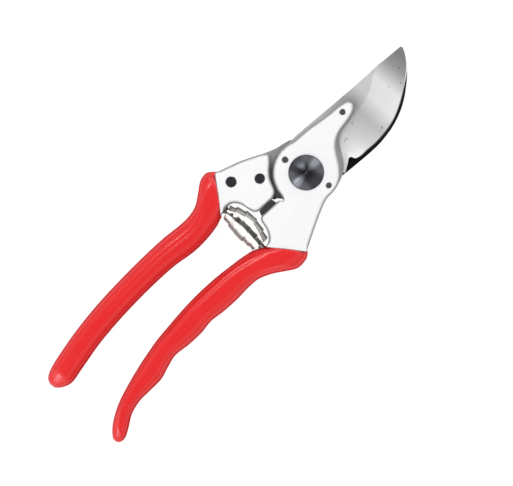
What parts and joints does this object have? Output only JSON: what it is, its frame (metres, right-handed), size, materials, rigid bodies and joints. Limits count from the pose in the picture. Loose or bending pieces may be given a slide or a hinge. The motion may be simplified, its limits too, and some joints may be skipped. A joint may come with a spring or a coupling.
{
  "type": "bypass pruner",
  "caption": "Hand pruner with a curved blade sliding past a hook, red sleeved aluminium handles, a volute spring and a thumb catch.",
  "frame": {"origin": "on the pivot axis, at the flat end of the pivot bolt, which lies on the same plane as the undersides of the grips", "axes": "+Y along the tool towards the blade tip, +X towards the hook's side, +Z along the pivot axis out of the bolt's domed head"},
  "size_m": [0.0587, 0.215, 0.0183],
  "materials": {
    "aluminium": "satin tumbled forging with flat front faces",
    "vinyl": "glossy soft red vinyl",
    "blade_steel": "satin ground, brighter on the hollow-ground side",
    "hook_steel": "dark oxidised steel, semi-matte",
    "dark_steel": "blued steel with fine turning marks",
    "nickel": "bright nickel plate",
    "rubber": "matte black rubber"
  },
  "bodies": {
    "hook_handle": {"left_casting": "aluminium", "left_grip": "vinyl", "hook": "hook_steel", "hook_rivet_1": "dark_steel", "hook_rivet_2": "dark_steel", "pivot_bolt": "dark_steel", "pivot_washer": "nickel", "pivot_nut": "dark_steel", "nut_lock_segment": "nickel", "segment_screw": "dark_steel", "catch_washer": "nickel", "catch_screw": "dark_steel", "volute_spring": "nickel"},
    "blade_handle": {"right_casting": "aluminium", "right_grip": "vinyl", "blade": "blade_steel", "blade_pin_1": "dark_steel", "blade_pin_2": "dark_steel", "blade_pin_3": "dark_steel", "bumper": "rubber", "catch_pin": "dark_steel"},
    "catch": {"thumb_catch": "dark_steel"}
  },
  "joints": [
    {"name": "main_pivot", "type": "hinge", "parent": "hook_handle", "child": "blade_handle", "pos_m": [0, 0, 0.008], "axis": [0, 0, 1], "range_deg": [0, 28], "deforming": ["volute_spring"]},
    {"name": "catch_pivot", "type": "hinge", "parent": "hook_handle", "child": "catch", "pos_m": [-0.0105, -0.0248, 0.003], "axis": [0, 0, -1], "range_deg": [0, 30]}
  ]
}
